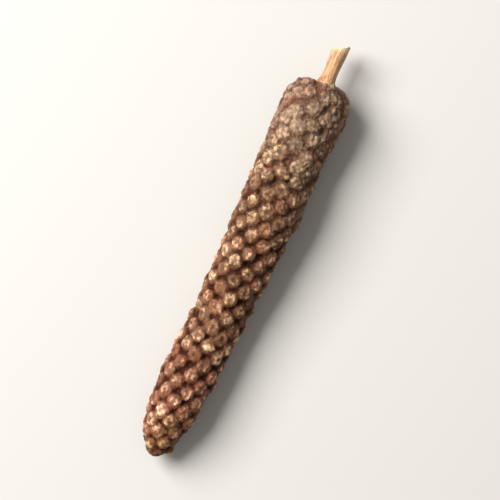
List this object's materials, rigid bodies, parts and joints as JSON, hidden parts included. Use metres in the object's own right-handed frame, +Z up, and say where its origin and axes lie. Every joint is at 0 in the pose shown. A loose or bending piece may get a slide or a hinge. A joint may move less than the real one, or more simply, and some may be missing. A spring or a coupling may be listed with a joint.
{
  "type": "dried long pepper",
  "caption": "Slim, slightly bent dried pepper spike of small fused berries in a spiral, with a short torn stalk at its base and a blunt tip.",
  "frame": {"origin": "on the surface that the spike lies on, under the middle of its bounding box", "axes": "+X along the spike from its stalk to its tip, +Z up, +Y to the side that the base leans to"},
  "size_m": [0.0486, 0.0076, 0.007],
  "materials": {
    "berry_skin": "matt, dry and dusty, grey-brown at the base and red-brown towards the tip",
    "stalk_straw": "matt pale straw with fine lengthwise fibres"
  },
  "bodies": {
    "root": {"spike": "berry_skin", "stalk": "stalk_straw"}
  },
  "joints": []
}
